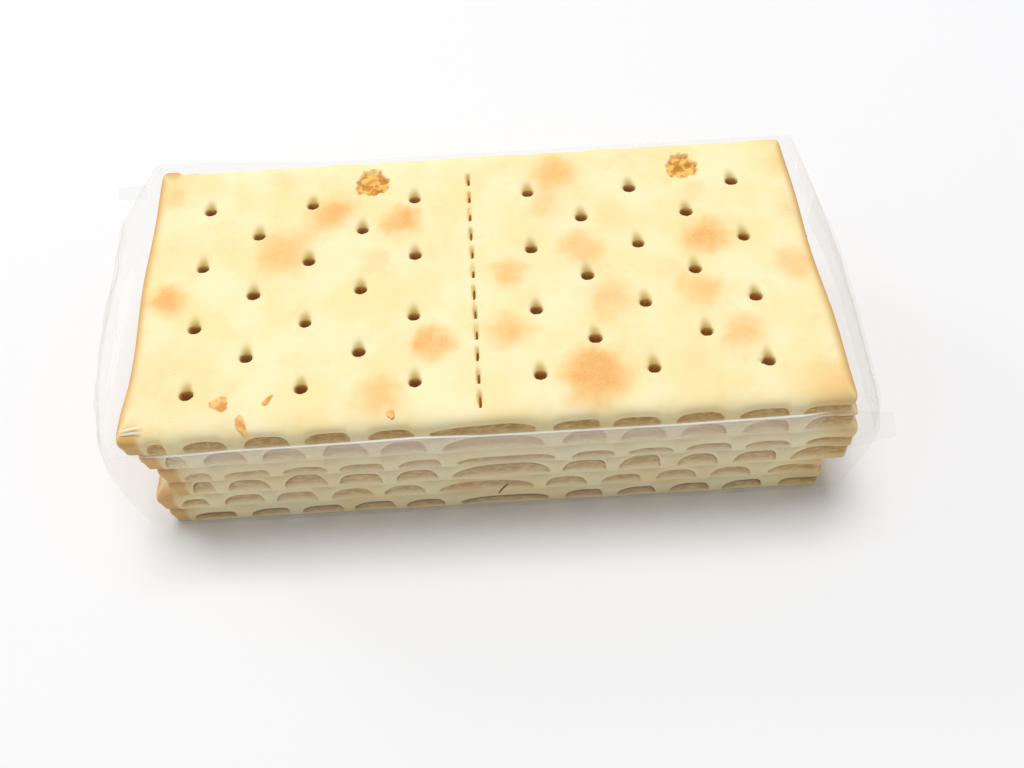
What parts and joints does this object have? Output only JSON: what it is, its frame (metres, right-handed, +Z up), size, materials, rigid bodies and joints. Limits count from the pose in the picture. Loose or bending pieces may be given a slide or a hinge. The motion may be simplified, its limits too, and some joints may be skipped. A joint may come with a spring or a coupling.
{
  "type": "wrapped stack of saltine crackers",
  "caption": "Flat-lying stack of double soda crackers with docking holes and scalloped torn edges, sealed in clear film with a fin at each end.",
  "frame": {"origin": "on the surface that the pack lies on, under the middle of its bounding box", "axes": "+X along the crackers towards the end with the front ear, +Y towards the back long side, +Z up out of the top cracker"},
  "size_m": [0.1252, 0.0556, 0.0272],
  "materials": {
    "cracker": "baked soda cracker, pale cream with tan blisters, under clear glossy film",
    "film": "clear glossy packing film, lightly hazed, with creases and pressed fins"
  },
  "bodies": {
    "root": {"wrapped_crackers": "cracker"}
  },
  "joints": []
}
